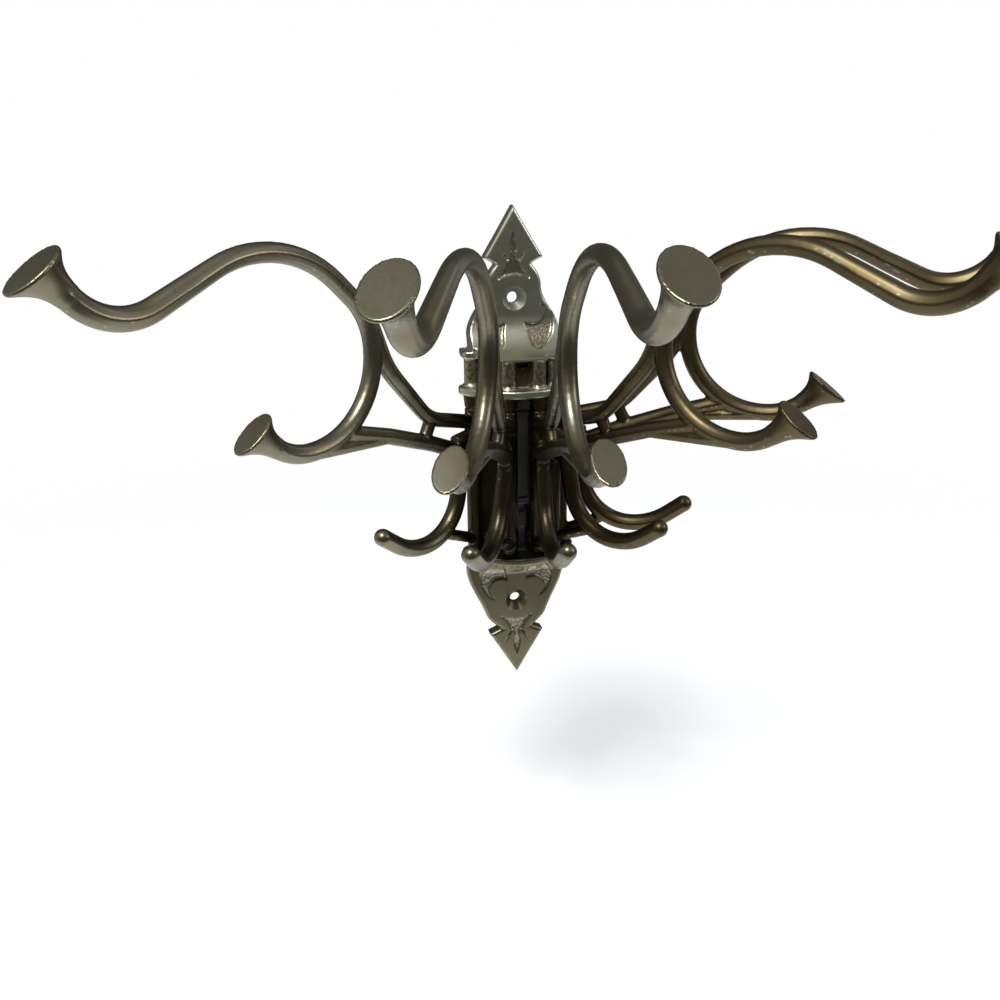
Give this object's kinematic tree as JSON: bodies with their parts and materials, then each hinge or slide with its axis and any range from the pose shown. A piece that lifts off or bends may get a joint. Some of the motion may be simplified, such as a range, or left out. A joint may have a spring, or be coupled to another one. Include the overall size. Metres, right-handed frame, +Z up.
{
  "type": "swivel wall hook",
  "caption": "Cast wall hook with a long pointed back plate and flat branching arms that swing on vertical pins, each with flared ends and a lower hook.",
  "frame": {"origin": "on the plate's back face, midway between the two screw holes", "axes": "+Z up along the plate, +Y out of the plate's back into the wall, -Y towards the viewer"},
  "size_m": [0.2522, 0.1453, 0.1524],
  "materials": {
    "plate_casting": "aged nickel plate",
    "arm_casting": "aged nickel plate",
    "pin_steel": "dull"
  },
  "bodies": {
    "wall_bracket": {"wall_plate": "plate_casting", "pin_far_left": "pin_steel", "pin_front_left": "pin_steel", "pin_front_right": "pin_steel", "pin_right": "pin_steel", "pin_far_right": "pin_steel"},
    "arm_far_left": {"arm_far_left": "arm_casting"},
    "arm_front_left": {"arm_front_left": "arm_casting"},
    "arm_front_right": {"arm_front_right": "arm_casting"},
    "arm_right": {"arm_right": "arm_casting"},
    "arm_far_right": {"arm_far_right": "arm_casting"}
  },
  "joints": [
    {"name": "swing_far_left", "type": "hinge", "parent": "wall_bracket", "child": "arm_far_left", "pos_m": [-0.01392, -0.00634, 0], "axis": [0, 0, 1], "range_deg": [-33.1, 14.9]},
    {"name": "swing_front_left", "type": "hinge", "parent": "wall_bracket", "child": "arm_front_left", "pos_m": [-0.0046, -0.01459, 0], "axis": [0, 0, 1], "range_deg": [-13.8, 6.2]},
    {"name": "swing_front_right", "type": "hinge", "parent": "wall_bracket", "child": "arm_front_right", "pos_m": [0.0046, -0.01459, 0], "axis": [0, 0, 1], "range_deg": [-6.1, 17.4]},
    {"name": "swing_right", "type": "hinge", "parent": "wall_bracket", "child": "arm_right", "pos_m": [0.01014, -0.01146, 0], "axis": [0, 0, 1], "range_deg": [-17, 10.5]},
    {"name": "swing_far_right", "type": "hinge", "parent": "wall_bracket", "child": "arm_far_right", "pos_m": [0.01392, -0.00634, 0], "axis": [0, 0, 1], "range_deg": [-10.1, 24.9]}
  ]
}
